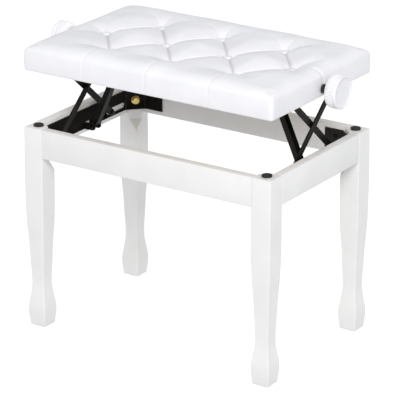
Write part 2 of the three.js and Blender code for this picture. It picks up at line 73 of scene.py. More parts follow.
def new_finish(name, **sockets):
    """A material named for its finish, with the uniform values set on its shader's sockets."""
    finish = bpy.data.materials.new(name)
    finish.use_nodes = True
    shader = finish.node_tree.nodes["Principled BSDF"]
    for socket, value in sockets.items():
        shader.inputs[socket.replace("_", " ")].default_value = value
    return finish, finish.node_tree, shader


camera_data = bpy.data.cameras.new("camera")
camera_data.sensor_width = 36
camera_data.lens = 241.0
camera = bpy.data.objects.new("camera", camera_data)
bpy.context.scene.collection.objects.link(camera)
camera.location = (2.700, -4.0568, 2.0831)
CAMERA_YAW, CAMERA_PITCH = 0.5860, 0.3567
looking = Vector((
    -math.sin(CAMERA_YAW) * math.cos(CAMERA_PITCH),
    math.cos(CAMERA_YAW) * math.cos(CAMERA_PITCH),
    -math.sin(CAMERA_PITCH),
))
camera.rotation_euler = looking.to_track_quat("-Z", "Y").to_euler()
bpy.context.scene.camera = camera

world = bpy.data.worlds.new("white_walls")
bpy.context.scene.world = world
world.use_nodes = True
world.node_tree.nodes["Background"].inputs["Color"].default_value = linear("#fbfcff")
world.node_tree.nodes["Background"].inputs["Strength"].default_value = 0.62
bpy.context.scene.view_settings.view_transform = "Standard"

key_data = bpy.data.lights.new("soft_box", "AREA")
key_data.shape = "RECTANGLE"
key_data.size, key_data.size_y = 3.2, 2.6
key_data.energy = 282
key_data.color = (1.0, 0.992, 0.98)
key = bpy.data.objects.new("soft_box", key_data)
bpy.context.scene.collection.objects.link(key)
key.location = (3.45, -4.65, 4.25)
key.visible_camera = False
key.rotation_euler = (Vector((0, 0, 0.4)) - key.location).to_track_quat("-Z", "Y").to_euler()

paper, tree, shader = new_finish("matt_white_paper", Roughness=0.9, Emission_Strength=0.86)
shader.inputs["Emission Color"].default_value = linear("#ffffff")
fibres = node(tree, "TexNoise", {"Scale": 900.0, "Detail": 3.0})
tone = node(tree, "ValToRGB", {"Fac": fibres.outputs["Fac"]})
tone.color_ramp.elements[0].color = linear("#8a8a8a")
tone.color_ramp.elements[1].color = linear("#8e8e8e")
tree.links.new(tone.outputs["Color"], shader.inputs["Base Color"])

bm = bmesh.new()
bmesh.ops.create_grid(bm, x_segments=8, y_segments=8, size=9.0)
sweep_mesh = bpy.data.meshes.new("paper_sweep")
bm.to_mesh(sweep_mesh)
bm.free()
sweep_mesh.materials.append(paper)
sweep = bpy.data.objects.new("paper_sweep", sweep_mesh)
bpy.context.scene.collection.objects.link(sweep)
sweep.visible_diffuse = False


# ---------------------------------------------------------------- legs
# Four square hardwood legs, waisted above a flared foot, their arrises sanded round. The inner
# corner is sawn off flat for the corner plate. Primed, sanded and sprayed with satin white
# polyurethane lacquer, which leaves a smooth skin with the faintest orange peel.

def lofted(rings, capped=True, joined=False):
    """A mesh through rings of points. Capped closes the two ends, joined closes each ring."""
    made = bmesh.new()
    rows = [[made.verts.new(point) for point in ring] for ring in rings]
    for low, high in zip(rows, rows[1:]):
        for i in range(len(low) if joined else len(low) - 1):
            k = (i + 1) % len(low)
            made.faces.new((low[i], low[k], high[k], high[i]))
    if capped:
        made.faces.new(rows[0][::-1])
        made.faces.new(rows[-1])
    bmesh.ops.recalc_face_normals(made, faces=made.faces)
    return made


def fit(name, bm, finish, body, slot, *nodes, crisp=38):
    """Makes the mesh a piece that rides on a body, and stands for the CAD nodes it is given."""
    mesh = bpy.data.meshes.new(name)
    bm.to_mesh(mesh)
    bm.free()
    mesh.materials.append(finish)
    mesh.shade_smooth()
    mesh.set_sharp_from_angle(angle=math.radians(crisp))
    made = bpy.data.objects.new(name, mesh)
    bpy.context.scene.collection.objects.link(made)
    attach(made, body)
    if nodes:
        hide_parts(*nodes)
    return made


def eased(points, at):
    """A smooth line through [place, size] points, read at each place."""
    places, sizes = np.array(points, float).T
    slopes = np.gradient(sizes, places)
    i = np.clip(np.searchsorted(places, at) - 1, 0, len(places) - 2)
    step = places[i + 1] - places[i]
    t = np.clip((at - places[i]) / step, 0, 1)
    low = (1 + 2 * t) * (1 - t) ** 2 * sizes[i] + t * (1 - t) ** 2 * step * slopes[i]
    high = t * t * (3 - 2 * t) * sizes[i + 1] - t * t * (1 - t) * step * slopes[i + 1]
    return low + high


# satin polyurethane, IOR 1.5: soft broad highlights, a clean white, and slight mottling where
# the coat is thicker. The orange peel is about 3 mm across and a hundredth of a mm high.
lacquer, tree, shader = new_finish(
    "satin_white_sprayed_lacquer", IOR=1.5, Coat_Weight=0.12, Coat_Roughness=0.28)
place = node(tree, "TexCoord")
mottle = node(tree, "TexNoise", {
    "Vector": place.outputs["Object"], "Scale": 1000 / 55, "Detail": 3.0})
tone = node(tree, "ValToRGB", {"Fac": mottle.outputs["Fac"]})
tone.color_ramp.elements[0].position = 0.3
tone.color_ramp.elements[0].color = linear("#eeeeec")
tone.color_ramp.elements[1].position = 0.7
tone.color_ramp.elements[1].color = linear("#f3f3f2")
tree.links.new(tone.outputs["Color"], shader.inputs["Base Color"])
sheen_map = node(tree, "MapRange", {"Value": mottle.outputs["Fac"], "To Min": 0.3, "To Max": 0.42})
tree.links.new(sheen_map.outputs["Result"], shader.inputs["Roughness"])
peel = node(tree, "TexNoise", {"Vector": place.outputs["Object"], "Scale": 1000 / 3, "Detail": 1.5})
skin = node(tree, "Bump", {"Height": peel.outputs["Fac"], "Strength": 0.35, "Distance": 0.00004})
tree.links.new(skin.outputs["Normal"], shader.inputs["Normal"])

LEG_HALF = 0.02025
LEG_FLAT_CUT = 0.0175
LEG_FLAT_TIP, LEG_FLAT_FULL = 0.324, 0.346
LEG_BOTTOM, LEG_TOP = 0.004, 0.416
LEG_ARRIS = 0.0016
LEG_WAIST = [
    [0.004, 0.0171], [0.027, 0.0194], [0.041, 0.0198], [0.065, 0.0167], [0.091, 0.0141],
    [0.103, 0.0142], [0.140, 0.0157], [0.179, 0.0172], [0.215, 0.0194], [0.246, LEG_HALF],
    [0.416, LEG_HALF],
]


def leg_section(half, height, inset):
    """One ring of the leg about its own axis, with the sawn flat on its +X +Y corner."""
    edge = 1 - LEG_FLAT_CUT / LEG_HALF
    shares = sorted({*np.linspace(-1, 1, 23).round(4), edge - 0.02, edge, edge + 0.02})
    straight = half - LEG_ARRIS
    side = [(half, s * straight) for s in shares]
    turn = [
        (straight + LEG_ARRIS * math.cos(a), straight + LEG_ARRIS * math.sin(a))
        for a in np.radians([22.5, 45, 67.5])
    ]
    quarter = side + turn
    ring = []
    for way in range(4):
        points = quarter
        if way == 1:
            points = [(x, -y) for x, y in side][::-1] + turn
        c, s = math.cos(way * math.pi / 2), math.sin(way * math.pi / 2)
        ring += [(x * c - y * s, x * s + y * c) for x, y in points]
    grown = (half - inset) / half
    run = np.clip((height - LEG_FLAT_TIP) / (LEG_FLAT_FULL - LEG_FLAT_TIP), 0, 1)
    limit = 2 * half - LEG_FLAT_CUT * run - inset
    section = []
    for x, y in ring:
        x, y = x * grown, y * grown
        over = max(0.0, (x + y - limit) / 2) if run > 0 else 0.0
        section.append((x - over, y - over, height))
    return section


LEG_ROWS = [
    (LEG_BOTTOM, 0.0008), (LEG_BOTTOM + 0.0003, 0.0003), (LEG_BOTTOM + 0.0009, 0),
    *((z, 0) for z in np.linspace(0.010, 0.250, 44)),
    (0.300, 0), (0.323, 0),
    *((z, 0) for z in np.linspace(LEG_FLAT_TIP, LEG_FLAT_FULL, 23)),
    (0.347, 0), (0.380, 0),
    (LEG_TOP - 0.0009, 0), (LEG_TOP - 0.0003, 0.0003), (LEG_TOP, 0.0008),
]
for corner, sx, sy in (
    ("back_left", -1, 1), ("front_left", -1, -1), ("front_right", 1, -1), ("back_right", 1, 1),
):
    low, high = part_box(f"leg_{corner}")
    middle = (low + high) / 2
    rings = [
        [(middle.x - sx * x, middle.y - sy * y, z)
         for x, y, z in leg_section(float(eased(LEG_WAIST, row)), row, inset)]
        for row, inset in LEG_ROWS
    ]
    fit(f"turned_leg_{corner}", lofted(rings, joined=True), lacquer, "frame", "white_lacquer",
        f"leg_{corner}", crisp=30)


# ---------------------------------------------------------------- aprons
# Four flat rails of the same wood under the same lacquer, glued and dowelled between the legs
# flush with their outer faces, with a fine line at each joint and softened edges.

def softened(cad_node, radius, segments=2, bend=0.0):
    """A CAD node's shape with its edges rounded, and the bends of folded steel rounded more."""
    made = bmesh.new()
    made.from_mesh(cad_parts[cad_node].data)
    bmesh.ops.remove_doubles(made, verts=made.verts, dist=1e-5)
    bmesh.ops.dissolve_limit(
        made, angle_limit=math.radians(1), verts=made.verts, edges=made.edges)
    if bend:
        painted_shade_row = [
            e for e in made.edges
            if len(e.link_faces) == 2
            and abs((e.verts[0].co - e.verts[1].co).normalized().z) > 0.99
            and math.radians(40) < e.calc_face_angle() < math.radians(50)
        ]
        bmesh.ops.bevel(
            made, geom=painted_shade_row, offset=bend, segments=4, profile=0.5, affect="EDGES")
    edges = [
        e for e in made.edges
        if len(e.link_faces) == 2 and e.calc_face_angle() > math.radians(50)
    ]
    bmesh.ops.bevel(
        made, geom=edges, offset=radius, segments=segments, profile=0.5, affect="EDGES",
        clamp_overlap=True)
    return made


for side in ("back", "left", "front", "right"):
    fit(f"wooden_apron_{side}", softened(f"apron_{side}", 0.0009, 3), lacquer, "frame",
        "white_lacquer", f"apron_{side}")


# ---------------------------------------------------------------- glides and top pads
# Hard black polyethylene glides nailed under the feet, and soft black rubber discs stuck on
# the leg tops for the seat to rest on. Moulding leaves both dull and very slightly pebbled.

def turned(outline, axis, centre, sides=32):
    """A turned solid about an axis through a centre, from [radius, place along it] pairs."""
    along = {"x": Vector((1, 0, 0)), "y": Vector((0, 1, 0)), "z": Vector((0, 0, 1))}[axis]
    first = Vector((0, 1, 0)) if axis == "x" else Vector((1, 0, 0))
    second = along.cross(first)
    rings = []
    for radius, place_along in outline:
        rings.append([
            Vector(centre) + along * place_along
            + first * radius * math.cos(a) + second * radius * math.sin(a)
            for a in np.linspace(0, 2 * math.pi, sides, endpoint=False)
        ])
    return lofted(rings, joined=True)


# moulded polyethylene: IOR 1.51 and a waxy half-matt surface
polyethylene, tree, shader = new_finish("moulded_black_polyethylene", IOR=1.51)
place = node(tree, "TexCoord")
pebble = node(tree, "TexNoise", {
    "Vector": place.outputs["Object"], "Scale": 1000 / 1.2, "Detail": 2.0})
tone = node(tree, "ValToRGB", {"Fac": pebble.outputs["Fac"]})
tone.color_ramp.elements[0].color = linear("#0e0e0f")
tone.color_ramp.elements[1].color = linear("#19191b")
tree.links.new(tone.outputs["Color"], shader.inputs["Base Color"])
scuffs = node(tree, "MapRange", {"Value": pebble.outputs["Fac"], "To Min": 0.42, "To Max": 0.62})
tree.links.new(scuffs.outputs["Result"], shader.inputs["Roughness"])
skin = node(tree, "Bump", {"Height": pebble.outputs["Fac"], "Strength": 0.4, "Distance": 0.00008})
tree.links.new(skin.outputs["Normal"], shader.inputs["Normal"])

# moulded rubber: IOR 1.52, darker and much rougher than the plastic
rubber, tree, shader = new_finish("moulded_black_rubber", IOR=1.52)
place = node(tree, "TexCoord")
bloom = node(tree, "TexNoise", {
    "Vector": place.outputs["Object"], "Scale": 1000 / 6, "Detail": 5.0})
tone = node(tree, "ValToRGB", {"Fac": bloom.outputs["Fac"]})
tone.color_ramp.elements[0].color = linear("#141413")
tone.color_ramp.elements[1].color = linear("#2b2b29")
tree.links.new(tone.outputs["Color"], shader.inputs["Base Color"])
dull = node(tree, "MapRange", {"Value": bloom.outputs["Fac"], "To Min": 0.68, "To Max": 0.9})
tree.links.new(dull.outputs["Result"], shader.inputs["Roughness"])
skin = node(tree, "Bump", {"Height": bloom.outputs["Fac"], "Strength": 0.3, "Distance": 0.0001})
tree.links.new(skin.outputs["Normal"], shader.inputs["Normal"])

GLIDE = [
    [0.0020, 0.0012], [0.0021, 0.0003], [0.0070, 0.0], [0.0080, 0.0002], [0.0088, 0.0010],
    [0.0090, 0.0018], [0.0090, 0.0037],
]
PAD = [
    [0.0100, 0.0], [0.0100, 0.0024], [0.0098, 0.0031], [0.0091, 0.0035], [0.0030, 0.0035],
    [0.0026, 0.0033],
]
for corner in ("back_left", "front_left", "front_right", "back_right"):
    low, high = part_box(f"glide_{corner}")
    centre = ((low.x + high.x) / 2, (low.y + high.y) / 2)
    fit(f"moulded_glide_{corner}", turned(GLIDE, "z", (*centre, low.z)), polyethylene,
        "frame", "black_plastic", f"glide_{corner}")
    low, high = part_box(f"pad_{corner}")
    fit(f"rubber_disc_{corner}", turned(PAD, "z", (*centre, low.z)), rubber,
        "frame", "black_rubber", f"pad_{corner}")


# ---------------------------------------------------------------- brackets and their screws
# One bracket inside each short apron, pressed from 2 mm strip steel, folded at 45 degrees past
# each leg and screwed to the long aprons. Powder coated black after folding.

# powder coat over steel reads as a dielectric, IOR 1.5: near black with a soft grey sheen and a
# stipple about 0.8 mm across, drawn at 1.6 mm so that it shows at all
powder, tree, shader = new_finish(
    "black_powder_coated_steel", IOR=1.5, Specular_IOR_Level=0.18)
place = node(tree, "TexCoord")
stipple = node(tree, "TexNoise", {
    "Vector": place.outputs["Object"], "Scale": 1000 / 1.6, "Detail": 2.0})
patches = node(tree, "TexNoise", {
    "Vector": place.outputs["Object"], "Scale": 1000 / 30, "Detail": 4.0})
tone = node(tree, "ValToRGB", {"Fac": patches.outputs["Fac"]})
tone.color_ramp.elements[0].position = 0.3
tone.color_ramp.elements[0].color = linear("#0f0f0d")
tone.color_ramp.elements[1].position = 0.7
tone.color_ramp.elements[1].color = linear("#181815")
tree.links.new(tone.outputs["Color"], shader.inputs["Base Color"])
rub = node(tree, "MapRange", {"Value": patches.outputs["Fac"], "To Min": 0.54, "To Max": 0.66})
tree.links.new(rub.outputs["Result"], shader.inputs["Roughness"])
skin = node(tree, "Bump", {"Height": stipple.outputs["Fac"], "Strength": 0.5, "Distance": 0.00008})
tree.links.new(skin.outputs["Normal"], shader.inputs["Normal"])

# blackened screws: an oxide film on steel, metallic with a dark tint
oxide, tree, shader = new_finish("black_oxide_screw_steel", Metallic=1.0)
place = node(tree, "TexCoord")
film = node(tree, "TexNoise", {"Vector": place.outputs["Object"], "Scale": 1000 / 2, "Detail": 4.0})
tone = node(tree, "ValToRGB", {"Fac": film.outputs["Fac"]})
tone.color_ramp.elements[0].color = linear("#141413")
tone.color_ramp.elements[1].color = linear("#252422")
tree.links.new(tone.outputs["Color"], shader.inputs["Base Color"])
worn = node(tree, "MapRange", {"Value": film.outputs["Fac"], "To Min": 0.3, "To Max": 0.5})
tree.links.new(worn.outputs["Result"], shader.inputs["Roughness"])

for side in ("left", "right"):
    fit(f"pressed_bracket_{side}", softened(f"bracket_{side}", 0.00035, 2, bend=0.0022), powder,
        "frame", "black_steel", f"bracket_{side}")

SCREW_HEAD = [[0.0037, 0.0], [0.0037, 0.0006], [0.0033, 0.0015], [0.0023, 0.0021]]
SCREW_SIDES = 24
CROSS_LONG, CROSS_WIDE, CROSS_DEEP, CROSS_TAPER = 0.0021, 0.0005, 0.0008, 0.75


def pan_head(centre, outward):
    """A pan head screw's head on a surface, with a cross recess sunk in its top."""
    made = bmesh.new()
    rings = [
        [(r * math.cos(a), r * math.sin(a), z)
         for a in np.linspace(0, 2 * math.pi, SCREW_SIDES, endpoint=False)]
        for r, z in SCREW_HEAD
    ]
    rows = [[made.verts.new(p) for p in ring] for ring in rings]
    for low, high in zip(rows, rows[1:]):
        for i in range(SCREW_SIDES):
            k = (i + 1) % SCREW_SIDES
            made.faces.new((low[i], low[k], high[k], high[i]))
    top = SCREW_HEAD[-1][1]
    cross = []
    for quarter in range(4):
        c, s = math.cos(quarter * math.pi / 2), math.sin(quarter * math.pi / 2)
        for x, y in (
            (CROSS_LONG, -CROSS_WIDE), (CROSS_LONG, CROSS_WIDE), (CROSS_WIDE, CROSS_WIDE),
        ):
            cross.append((x * c - y * s, x * s + y * c))
    rim = [made.verts.new((x, y, top)) for x, y in cross]
    floor = [
        made.verts.new((x * CROSS_TAPER, y * CROSS_TAPER, top - CROSS_DEEP)) for x, y in cross
    ]
    for i in range(len(rim)):
        k = (i + 1) % len(rim)
        made.faces.new((rim[i], rim[k], floor[k], floor[i]))
    made.faces.new(floor)
    made.edges.ensure_lookup_table()
    loops = [
        e for e in made.edges
        if len(e.link_faces) == 1 and all(v.co.z > top - 1e-5 for v in e.verts)
    ]
    bmesh.ops.bridge_loops(made, edges=loops)
    bmesh.ops.recalc_face_normals(made, faces=made.faces)
    facing = Vector(outward).to_track_quat("Z", "Y").to_matrix().to_4x4()
    made.transform(Matrix.Translation(centre) @ facing)
    return made


SHEET_THICK = 0.002
TAB_SCREW_X, TAB_SCREW_Z = 0.214, 0.394
for side, sx in (("left", -1), ("right", 1)):
    low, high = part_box(f"bracket_{side}")
    for place_name, tab_y, way in (
        ("back", high.y - SHEET_THICK, -1), ("front", low.y + SHEET_THICK, 1),
    ):
        head = pan_head((sx * TAB_SCREW_X, tab_y, TAB_SCREW_Z), (0, way, 0))
        fit(f"tab_screw_{place_name}_{side}", head, oxide, "frame", "black_steel")


# ---------------------------------------------------------------- corner bolts
# A flanged hex bolt through each corner plate pulls the plate to the leg. Zinc plated and
# yellow passivated, which gives a pale brassy metal with a faint greenish drift.

zinc, tree, shader = new_finish("yellow_passivated_zinc_plate", Metallic=1.0)
place = node(tree, "TexCoord")
drift = node(tree, "TexNoise", {
    "Vector": place.outputs["Object"], "Scale": 1000 / 5, "Detail": 3.0})
tone = node(tree, "ValToRGB", {"Fac": drift.outputs["Fac"]})
tone.color_ramp.elements[0].position = 0.35
tone.color_ramp.elements[0].color = linear("#b39a55")
tone.color_ramp.elements[1].position = 0.68
tone.color_ramp.elements[1].color = linear("#d3c07f")
tree.links.new(tone.outputs["Color"], shader.inputs["Base Color"])
worn = node(tree, "MapRange", {"Value": drift.outputs["Fac"], "To Min": 0.22, "To Max": 0.4})
tree.links.new(worn.outputs["Result"], shader.inputs["Roughness"])

for corner in ("back_left", "front_left", "front_right", "back_right"):
    fit(f"hex_bolt_{corner}", softened(f"corner_bolt_{corner}", 0.0004, 2), zinc, "frame",
        "yellow_zinc", f"corner_bolt_{corner}", crisp=24)


# ---------------------------------------------------------------- struts, foot pins and nuts
# A folded channel strut leans from each bracket's ears up to a trunnion nut on the threaded
# rod. Powder coated like the brackets; the foot pin is a blackened steel rivet.

# clear zinc plate: metallic, a cool light grey with a fine brushed haze
bright_zinc, tree, shader = new_finish("clear_zinc_plated_steel", Metallic=1.0)
place = node(tree, "TexCoord")
haze = node(tree, "TexNoise", {"Vector": place.outputs["Object"], "Scale": 1000 / 3, "Detail": 4.0})
tone = node(tree, "ValToRGB", {"Fac": haze.outputs["Fac"]})
tone.color_ramp.elements[0].color = linear("#86878a")
tone.color_ramp.elements[1].color = linear("#b4b5b8")
tree.links.new(tone.outputs["Color"], shader.inputs["Base Color"])
worn = node(tree, "MapRange", {"Value": haze.outputs["Fac"], "To Min": 0.22, "To Max": 0.42})
tree.links.new(worn.outputs["Result"], shader.inputs["Roughness"])

FOOT_SHANK, FOOT_HEAD, FOOT_HEAD_THICK = 0.0020, 0.0046, 0.0015
for side in ("left", "right"):
    fit(f"channel_strut_{side}", softened(f"strut_{side}", 0.0003, 2), powder,
        f"strut_{side}", "black_steel", f"strut_{side}")
    fit(f"trunnion_nut_{side}", softened(f"rod_nut_{side}", 0.0004, 2), powder,
        f"nut_{side}", "black_steel", f"rod_nut_{side}")
    low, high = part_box(f"strut_foot_pin_{side}")
    middle = (low + high) / 2
    face = (high.y - low.y) / 2 - FOOT_HEAD_THICK
    rivet = [
        [0.0020, -face - FOOT_HEAD_THICK], [0.0036, -face - 0.0013], [FOOT_HEAD, -face - 0.0006],
        [FOOT_HEAD, -face], [FOOT_SHANK, -face], [FOOT_SHANK, face], [FOOT_HEAD, face],
        [FOOT_HEAD, face + 0.0006], [0.0036, face + 0.0013], [0.0020, face + FOOT_HEAD_THICK],
    ]
    fit(f"foot_rivet_{side}", turned(rivet, "y", middle, 24), oxide,
        "frame", "black_steel", f"strut_foot_pin_{side}")


# ---------------------------------------------------------------- scissor arms and their pins
# Two flat steel arms cross at each end, blanked with round ends and powder coated. Shouldered
# blackened pins turn in fixed holes at one end of the pair and slide in slots at the other.

ARM_PINS = (
    ("lower_fixed_pin", "frame", 0.005), ("upper_fixed_pin", "seat", 0.005),
    ("lower_sliding_pin", "outer_arm", 0.0045), ("upper_sliding_pin", "inner_arm", 0.0045),
)
ARM_THICK, ARM_AIR, PIN_HEAD_THICK = 0.003, 0.0003, 0.002
for side, sx in (("left", -1), ("right", 1)):
    for arm in ("inner_arm", "outer_arm"):
        fit(f"flat_{arm}_{side}", softened(f"{arm}_{side}", 0.0004, 2), powder,
            f"{arm}_{side}", "black_steel", f"{arm}_{side}")
    for pin, body, roller in ARM_PINS:
        low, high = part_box(f"{pin}_{side}")
        head_end, outer_end = (low.x, high.x) if sx > 0 else (high.x, low.x)
        length = abs(outer_end - head_end)
        arm_far = PIN_HEAD_THICK + ARM_AIR + ARM_THICK
        web = length - SHEET_THICK - 2 * ARM_AIR
        outline = [
            [0.0022, 0.0], [0.0042, 0.0002], [0.0053, 0.0009], [0.0055, 0.0015],
            [0.0055, PIN_HEAD_THICK], [0.0030, PIN_HEAD_THICK],
            [0.0030, arm_far + ARM_AIR], [roller - 0.0004, arm_far + ARM_AIR],
            [roller, arm_far + 0.0006], [roller, web - 0.0004], [roller - 0.0003, web],
            [0.0030, web], [0.0030, length - 0.0004], [0.0026, length],
        ]
        centre = Vector((head_end, (low.y + high.y) / 2, (low.z + high.z) / 2))
        made = turned([[r, sx * along] for r, along in outline], "x", centre, 28)
        rides = body if body in ("frame", "seat") else f"{body}_{side}"
        fit(f"shouldered_{pin}_{side}", made, oxide, rides, "black_steel", f"{pin}_{side}")
    low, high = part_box(f"scissor_rivet_{side}")
    head_end, outer_end = (low.x, high.x) if sx > 0 else (high.x, low.x)
    length = abs(outer_end - head_end)
    centre = Vector((head_end, (low.y + high.y) / 2, (low.z + high.z) / 2))
    shoulder = PIN_HEAD_THICK + ARM_THICK + 2 * ARM_AIR
    outline = [
        [0.0016, 0.0], [0.0034, 0.0002], [0.0050, 0.0009], [0.0055, 0.0016],
        [0.0055, PIN_HEAD_THICK], [0.0030, PIN_HEAD_THICK], [0.0030, shoulder],
        [0.0055, shoulder], [0.0055, length],
    ]
    fit(f"crossing_rivet_{side}", turned([[r, sx * a] for r, a in outline], "x", centre, 28),
        oxide, f"inner_arm_{side}", "black_steel", f"scissor_rivet_{side}")


# ---------------------------------------------------------------- threaded rod and sleeves
# One steel rod runs the length of the seat, rolled with a three-start thread, left handed on
# one half and right handed on the other. It turns in two moulded sleeves, each with a disc
# against the cover.

ROD_RADIUS, ROD_ROOT = 0.0040, 0.0034
ROD_PLAIN_MIDDLE, ROD_PLAIN_ENDS = 0.012, 0.034
THREAD_PITCH, THREAD_STARTS = 0.002, 3
THREAD_STEP, THREAD_SIDES = 0.0005, 18
low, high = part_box("threaded_rod")
rod_z = (low.z + high.z) / 2
places = np.arange(low.x, high.x + 1e-6, THREAD_STEP)
turns = np.linspace(0, 2 * np.pi, THREAD_SIDES, endpoint=False)
rings = []
for x in places:
    phase = abs(x) / THREAD_PITCH + THREAD_STARTS * turns / (2 * np.pi)
    crest = 1 - 2 * np.abs(phase % 1 - 0.5)
    plain = abs(x) < ROD_PLAIN_MIDDLE or abs(x) > high.x - ROD_PLAIN_ENDS
    radius = np.where(plain, ROD_RADIUS - 0.0002, ROD_ROOT + (ROD_RADIUS - ROD_ROOT) * crest)
    rings.append([(x, r * math.cos(a), rod_z + r * math.sin(a)) for r, a in zip(radius, turns)])
fit("rolled_thread_rod", lofted(rings, joined=True), bright_zinc, "knob_shaft",
    "bright_steel", "threaded_rod", crisp=60)

for side, sx in (("left", -1), ("right", 1)):
    low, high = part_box(f"rod_bushing_{side}")
    inner_end, outer_end = (low.x, high.x) if sx > 0 else (high.x, low.x)
    length = abs(outer_end - inner_end)
    sleeve = [
        [0.0043, 0.0], [0.0066, 0.0], [0.0069, 0.0003], [0.0069, 0.002], [0.0062, 0.002],
        [0.0062, length - 0.0080], [0.0089, length - 0.0080], [0.0092, length - 0.0077],
        [0.0092, length - 0.0039], [0.0088, length - 0.0035], [0.0062, length - 0.0035],
        [0.0062, length - 0.0006], [0.0058, length], [0.0043, length],
    ]
    made = turned([[r, sx * along] for r, along in sleeve], "x", (inner_end, 0, rod_z), 32)
    fit(f"moulded_sleeve_{side}", made, polyethylene, "seat", "black_plastic",
        f"rod_bushing_{side}")


# ---------------------------------------------------------------- hand knobs
# Two white ABS knobs, injection moulded hollow from the face side with fifty grip ribs, a smooth
# rolled rim, a slightly dished face and a hub pressed on the rod.

# moulded ABS: IOR 1.53, half gloss, cool white, a trace of flow mottling
abs_plastic, tree, shader = new_finish("moulded_white_abs", IOR=1.53)
place = node(tree, "TexCoord")
flow = node(tree, "TexNoise", {
    "Vector": place.outputs["Object"], "Scale": 1000 / 18, "Detail": 3.0})
tone = node(tree, "ValToRGB", {"Fac": flow.outputs["Fac"]})
tone.color_ramp.elements[0].color = linear("#f0f0f3")
tone.color_ramp.elements[1].color = linear("#f6f6f8")
tree.links.new(tone.outputs["Color"], shader.inputs["Base Color"])
satin = node(tree, "MapRange", {"Value": flow.outputs["Fac"], "To Min": 0.3, "To Max": 0.4})
tree.links.new(satin.outputs["Result"], shader.inputs["Roughness"])
spark = node(tree, "TexNoise", {
    "Vector": place.outputs["Object"], "Scale": 1000 / 0.8, "Detail": 1.0})
skin = node(tree, "Bump", {"Height": spark.outputs["Fac"], "Strength": 0.3, "Distance": 0.00002})
tree.links.new(skin.outputs["Normal"], shader.inputs["Normal"])

RIB_COUNT, RIB_DEEP, RIB_FACETS = 50, 0.0021, 8
# [radius, place from the hub's end, share of the ribs' depth], hub first and face last
KNOB = [
    [0.0044, 0.0, 0], [0.0104, 0.0, 0], [0.0112, 0.0006, 0], [0.0115, 0.0022, 0],
    [0.0124, 0.0034, 0], [0.0160, 0.0040, 0], [0.0208, 0.0046, 0], [0.0237, 0.0052, 0.2],
    [0.0256, 0.0058, 0.8], [0.0275, 0.0070, 1], [0.0293, 0.0088, 1], [0.0307, 0.0112, 1],
    [0.0316, 0.0140, 1], [0.0320, 0.0170, 1], [0.0320, 0.0205, 1], [0.0320, 0.0240, 1],
    [0.0320, 0.0262, 1], [0.0319, 0.0270, 0.6], [0.0317, 0.0274, 0.1], [0.0318, 0.0279, 0],
    [0.0320, 0.0288, 0], [0.0320, 0.0302, 0], [0.0318, 0.0315, 0], [0.0311, 0.0324, 0],
    [0.0301, 0.0329, 0], [0.0288, 0.0330, 0], [0.0279, 0.0327, 0], [0.0274, 0.0320, 0],
    [0.0270, 0.0313, 0], [0.0260, 0.0310, 0], [0.0160, 0.0307, 0], [0.0064, 0.0306, 0],
]
for side, sx in (("left", -1), ("right", 1)):
    low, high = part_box(f"knob_{side}")
    hub_end = low.x if sx > 0 else high.x
    around = np.linspace(0, 2 * np.pi, RIB_COUNT * RIB_FACETS, endpoint=False)
    groove = (0.5 + 0.5 * np.cos(RIB_COUNT * around)) ** 2.2
    rings = []
    for radius, along, share in KNOB:
        r = radius - RIB_DEEP * share * groove
        rings.append([
            (hub_end + sx * along, v * math.cos(a), rod_z + v * math.sin(a))
            for v, a in zip(r, around)
        ])
    fit(f"ribbed_knob_{side}", lofted(rings, joined=True), abs_plastic, "knob_shaft",
        "white_plastic", f"knob_{side}", crisp=45)


# ---------------------------------------------------------------- seat rails
# A pressed steel angle inside each end of the seat box takes the arms' upper pins, and is
# screwed up into the board through its flange. Powder coated black.

RAIL_SCREWS_Y = (-0.125, -0.045, 0.045, 0.125)
RAIL_SCREWS_IN, RAIL_FLANGE_THICK = 0.011, 0.0016
for side, sx in (("left", -1), ("right", 1)):
    fit(f"pressed_rail_{side}", softened(f"seat_rail_{side}", 0.0003, 2), powder, "seat",
        "black_steel", f"seat_rail_{side}")
    low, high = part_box(f"seat_rail_{side}")
    flange_x = (low.x + RAIL_SCREWS_IN) if sx > 0 else (high.x - RAIL_SCREWS_IN)
    for number, y in enumerate(RAIL_SCREWS_Y):
        head = pan_head((flange_x, y, high.z - RAIL_FLANGE_THICK), (0, 0, -1))
        fit(f"rail_screw_{side}_{number + 1}", head, oxide, "seat", "black_steel")


# ---------------------------------------------------------------- seat box
# Birch plywood: a ring of four skirts, butted and stapled, under a flat board. The saw leaves
# the edges showing their layers and the faces a pale, straight, slightly woolly grain.

plywood, tree, shader = new_finish("sanded_birch_plywood", IOR=1.5)
place = node(tree, "TexCoord")
plies = node(tree, "Mapping", {"Vector": place.outputs["Object"]})
plies.inputs["Scale"].default_value = (1.0, 6.0, 6.0)
grain = node(tree, "TexNoise", {
    "Vector": plies.outputs["Vector"], "Scale": 1000 / 28, "Detail": 7.0})
grain.inputs["Distortion"].default_value = 0.6
layers = node(tree, "TexWave", {"Vector": place.outputs["Object"], "Scale": 1000 / 18 / 3.14159})
layers.bands_direction = "Z"
layers.inputs["Distortion"].default_value = 0.8
blend = node(tree, "Mix", {0: 0.22, 2: grain.outputs["Fac"], 3: layers.outputs["Fac"]})
tone = node(tree, "ValToRGB", {"Fac": blend.outputs[0]})
tone.color_ramp.elements[0].position = 0.3
tone.color_ramp.elements[0].color = linear("#b28d5c")
tone.color_ramp.elements[1].position = 0.7
tone.color_ramp.elements[1].color = linear("#dcc298")
tree.links.new(tone.outputs["Color"], shader.inputs["Base Color"])
rough = node(tree, "MapRange", {"Value": grain.outputs["Fac"], "To Min": 0.6, "To Max": 0.85})
tree.links.new(rough.outputs["Result"], shader.inputs["Roughness"])
skin = node(tree, "Bump", {"Height": grain.outputs["Fac"], "Strength": 0.4, "Distance": 0.0002})
tree.links.new(skin.outputs["Normal"], shader.inputs["Normal"])

